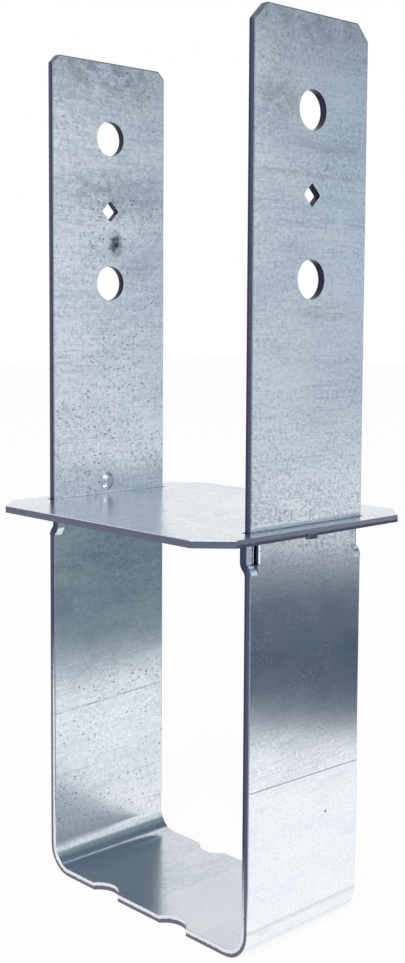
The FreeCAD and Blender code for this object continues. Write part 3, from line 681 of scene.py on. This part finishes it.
def area_light(name, place, target, size, power):
    lamp = bpy.data.lights.new(name, "AREA")
    lamp.shape = "SQUARE"
    lamp.size = size
    lamp.energy = power
    piece = bpy.data.objects.new(name, lamp)
    aim = (Vector(target) - Vector(place)).to_track_quat("-Z", "Y")
    piece.matrix_world = Matrix.Translation(place) @ aim.to_matrix().to_4x4()
    bpy.context.scene.collection.objects.link(piece)


class POSTBASE_OT_stage(bpy.types.Operator):
    """Set the floor, studio cards, lamp, world and camera"""
    bl_idname = "postbase.stage"
    bl_label = "Set the studio"

    def execute(self, context):
        scene = context.scene
        scene.view_settings.view_transform = "Standard"

        square = ((-1, -1), (1, -1), (1, 1), (-1, 1))
        flat_mesh("floor", [(FLOOR_REACH * x, FLOOR_REACH * y, 0) for x, y in square],
                  paper_material())
        panel("screen_right", [(SCREEN_DISTANCE, SCREEN_WIDTH / 2 * y, SCREEN_TOP / 2 * (z + 1))
                               for y, z in square], screen_material(), MIRROR_HEADING)
        panel("cloth_right", [(CLOTH_NEAR, -CLOTH_SIDE, CLOTH_HEIGHT),
                              (CLOTH_FAR, -CLOTH_SIDE, CLOTH_HEIGHT),
                              (CLOTH_FAR, CLOTH_SIDE, CLOTH_HEIGHT),
                              (CLOTH_NEAR, CLOTH_SIDE, CLOTH_HEIGHT)],
              cloth_material(), MIRROR_HEADING)
        panel("flag_behind", [(FLAG_X, FLAG_NEAR, FLAG_FOOT), (FLAG_X, FLAG_FAR, FLAG_FOOT),
                              (FLAG_X, FLAG_FAR, FLAG_TOP), (FLAG_X, FLAG_NEAR, FLAG_TOP)],
              flag_material())

        world = bpy.data.worlds.new("white_studio")
        scene.world = world
        world.use_nodes = True
        tree = world.node_tree
        tree.nodes.clear()
        strength = add(tree, "Math:ADD", WORLD_LIGHT,
                       add(tree, "Math:MULTIPLY", seen_directly(tree), 1.0 - WORLD_LIGHT))
        sky = add(tree, "Background", {"Color": rgba("#FFFFFF"), "Strength": strength})
        add(tree, "OutputWorld", {"Surface": sky})

        area_light("key_lamp", LAMP_PLACE, LAMP_TARGET, LAMP_SIZE, LAMP_POWER)

        lens = bpy.data.cameras.new("camera")
        lens.sensor_fit = "VERTICAL"
        lens.sensor_height = CAMERA_SENSOR
        lens.lens = CAMERA_LENS
        lens.shift_x, lens.shift_y = CAMERA_SHIFT
        lens.clip_start = 0.05
        lens.clip_end = 50.0
        camera = bpy.data.objects.new("camera", lens)
        camera.matrix_world = (Matrix.Translation(CAMERA_PLACE)
                               @ Matrix.Rotation(radians(CAMERA_HEADING) - pi / 2, 4, "Z")
                               @ Matrix.Rotation(pi / 2 + radians(CAMERA_TILT), 4, "X")
                               @ Matrix.Rotation(radians(CAMERA_ROLL), 4, "Z"))
        scene.collection.objects.link(camera)
        scene.camera = camera
        return {"FINISHED"}


# ---------------------------------------------------------------- add-on
class POSTBASE_PT_sidebar(bpy.types.Panel):
    """The post base's settings and steps"""
    bl_label = "Post base"
    bl_idname = "POSTBASE_PT_sidebar"
    bl_space_type = "VIEW_3D"
    bl_region_type = "UI"
    bl_category = "Post base"

    def draw(self, context):
        settings = context.scene.post_base
        for name in PostBaseSettings.__annotations__:
            self.layout.prop(settings, name)
        for step in STEPS:
            self.layout.operator(step.bl_idname)


STEPS = (POSTBASE_OT_strap, POSTBASE_OT_plate, POSTBASE_OT_stage)
CLASSES = (PostBaseSettings, *STEPS, POSTBASE_PT_sidebar)


def register():
    for item in CLASSES:
        bpy.utils.register_class(item)
    bpy.types.Scene.post_base = PointerProperty(type=PostBaseSettings)


def unregister():
    del bpy.types.Scene.post_base
    for item in reversed(CLASSES):
        bpy.utils.unregister_class(item)


def main():
    register()
    bpy.ops.postbase.strap()
    bpy.ops.postbase.plate()
    bpy.ops.postbase.stage()


if __name__ == "__main__":
    main()
